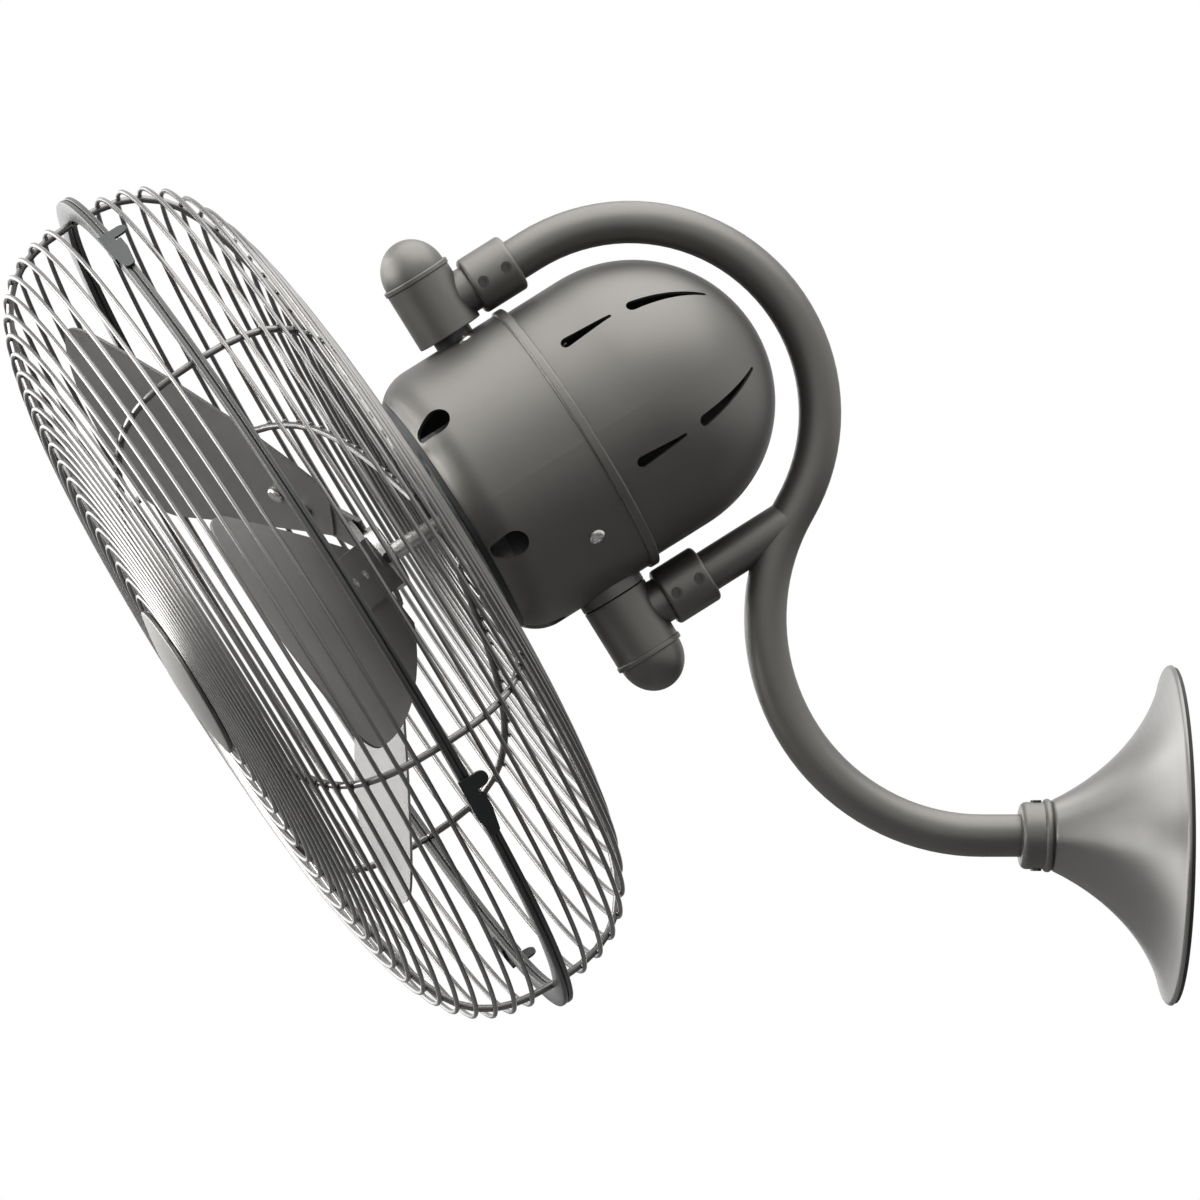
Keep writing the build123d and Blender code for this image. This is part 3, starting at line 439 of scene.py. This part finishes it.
# ---------------------------------------- meshes
def piece(name, bm, finish_name, body="head", place=HEAD):
    """A smooth mesh in a local frame that rides on a body."""
    bmesh.ops.recalc_face_normals(bm, faces=bm.faces)
    bmesh.ops.transform(bm, matrix=place @ Matrix.Scale(MM, 4), verts=bm.verts)
    mesh = bpy.data.meshes.new(name)
    bm.to_mesh(mesh)
    bm.free()
    mesh.polygons.foreach_set("use_smooth", [True] * len(mesh.polygons))
    mesh.materials.append(finishes[finish_name])
    obj = bpy.data.objects.new(name, mesh)
    bpy.context.scene.collection.objects.link(obj)
    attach(obj, body)
    return obj


def join(bm, loops, closed):
    """Quads from each loop to the next, and where the row of loops is open, a face over each end."""
    sides = len(loops[0])
    for i in range(len(loops) if closed else len(loops) - 1):
        here, there = loops[i], loops[(i + 1) % len(loops)]
        for j in range(sides):
            k = (j + 1) % sides
            bm.faces.new((here[j], there[j], there[k], here[k]))
    if not closed:
        bm.faces.new(loops[0][::-1])
        bm.faces.new(loops[-1])


def domed_end(point, ahead, side, radius):
    """The centres, side directions and sizes of the loops that close a wire's end."""
    return [(point + ahead * radius * sin(lean), side, radius * cos(lean)) for lean in cap_leans]


def wire(bm, points, across, radius, closed):
    """A round wire along a flat path, domed where it is open. Across is square to the path's plane."""
    ahead = np.roll(points, -1, axis=0) - np.roll(points, 1, axis=0)
    if not closed:
        ahead[0] = points[1] - points[0]
        ahead[-1] = points[-1] - points[-2]
    ahead /= np.linalg.norm(ahead, axis=1)[:, None]
    side = np.cross(ahead, across)
    rows = [(point, out, radius) for point, out in zip(points, side)]
    if not closed:
        start = domed_end(points[0], -ahead[0], side[0], radius)
        rows = start[::-1] + rows + domed_end(points[-1], ahead[-1], side[-1], radius)
    turns = [2 * pi * i / wire_sides for i in range(wire_sides)]
    loops = []
    for place, out, size in rows:
        loops.append([bm.verts.new(place + size * (cos(t) * out + sin(t) * across)) for t in turns])
    join(bm, loops, closed)


def spin(bm, section):
    """Turns a closed outline, radius against height, round the z axis."""
    loops = []
    for i in range(spun_steps):
        turn = 2 * pi * i / spun_steps
        loops.append([bm.verts.new((r * cos(turn), r * sin(turn), z)) for r, z in section])
    join(bm, loops, True)


def ring_points(radius, height):
    turns = np.linspace(0, 2 * pi, ring_steps, endpoint=False)
    return np.stack([radius * np.cos(turns), radius * np.sin(turns), np.full(ring_steps, height)], axis=1)


def guard(name, profile, count, ahead):
    """Rings, a flat rim bar and ribs with small weld beads. Ahead is +1 or -1 from the rim."""
    points, outs = places_along(profile, count)
    rings = bmesh.new()
    for radius, height in points:
        ring = ring_points(radius, rim_plane + ahead * height)
        wire(rings, ring, np.array([0.0, 0.0, 1.0]), guard_wire / 2, True)
    ring_piece = piece(name + "_rings", rings, "pewter_wire")
    near, far = sorted(rim_plane + ahead * (guard_gap / 2 + side) for side in (0, rim_bar_t))
    rim_bar = bmesh.new()
    spin(rim_bar, rounded_box(rim_r - rim_bar_in, rim_r - rim_bar_in + rim_bar_w, near, far, rim_edge))
    # The rim bar takes the darker pewter, which is painted shade.
    piece(name + "_bar", rim_bar, "pewter_rim_shaded")
    ribs = bmesh.new()
    welds = bmesh.new()
    inset = guard_wire / 2 - rib_sink + guard_rib / 2
    weld_inset = guard_wire / 2 - rib_sink / 2
    start = np.array([rim_r - inset, (guard_gap + rim_bar_t) / 2])
    rib_line = np.concatenate([[start], points - outs * inset])
    for i in range(rib_count):
        turn = radians(rib_angle + 360 / rib_count * i)
        out = np.array([cos(turn), sin(turn), 0.0])
        across = np.array([-sin(turn), cos(turn), 0.0])
        rib = [out * radius + np.array([0, 0, rim_plane + ahead * height]) for radius, height in rib_line]
        wire(ribs, np.array(rib), across, guard_rib / 2, False)
        for (radius, height), (lean, rise) in zip(points, outs):
            place = out * (radius - lean * weld_inset)
            place[2] = rim_plane + ahead * (height - rise * weld_inset)
            for sign in (-1, 1):
                bead = place + across * sign * guard_rib * weld_aside_share
                size = Matrix.Diagonal((weld_r, weld_r, weld_r * weld_height_share, 1))
                matrix = Matrix.Translation(bead) @ size
                bmesh.ops.create_icosphere(welds, subdivisions=1, radius=1.0, matrix=matrix)
    piece(name + "_ribs", ribs, "pewter_wire")
    piece(name + "_welds", welds, "pewter_wire")
    return ring_piece


def add_bell():
    bell = bmesh.new()
    spin(bell, thickened(bell_line(), bell_wall))
    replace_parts(piece("canopy_bell", bell, "pewter_bell", "mount", WALL), "canopy")


def add_badge():
    """The plain dome in the middle of the front guard, closed to a point at both ends of its outline."""
    badge = bmesh.new()
    spin(badge, badge_outline() + (0, rim_plane + front_outline["depth"] + guard_wire / 2))
    bmesh.ops.remove_doubles(badge, verts=badge.verts, dist=merge_distance)
    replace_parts(piece("badge_dome", badge, "pewter_metal"), "guard_badge")


def add_guards():
    front_profile = guard_profile(**front_outline)
    rear_profile = guard_profile(**rear_outline)
    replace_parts(guard("front_guard", front_profile, front_ring_count, 1), "front_guard")
    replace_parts(guard("rear_guard", rear_profile, rear_ring_count, -1), "rear_guard")


finishes = {name: finish(name, **look) for name, look in finish_looks.items()}
add_camera()
add_world()
add_floor()
for light_name, light in lights.items():
    add_light(light_name, **light)
dress_nodes()
add_bell()
add_badge()
add_guards()
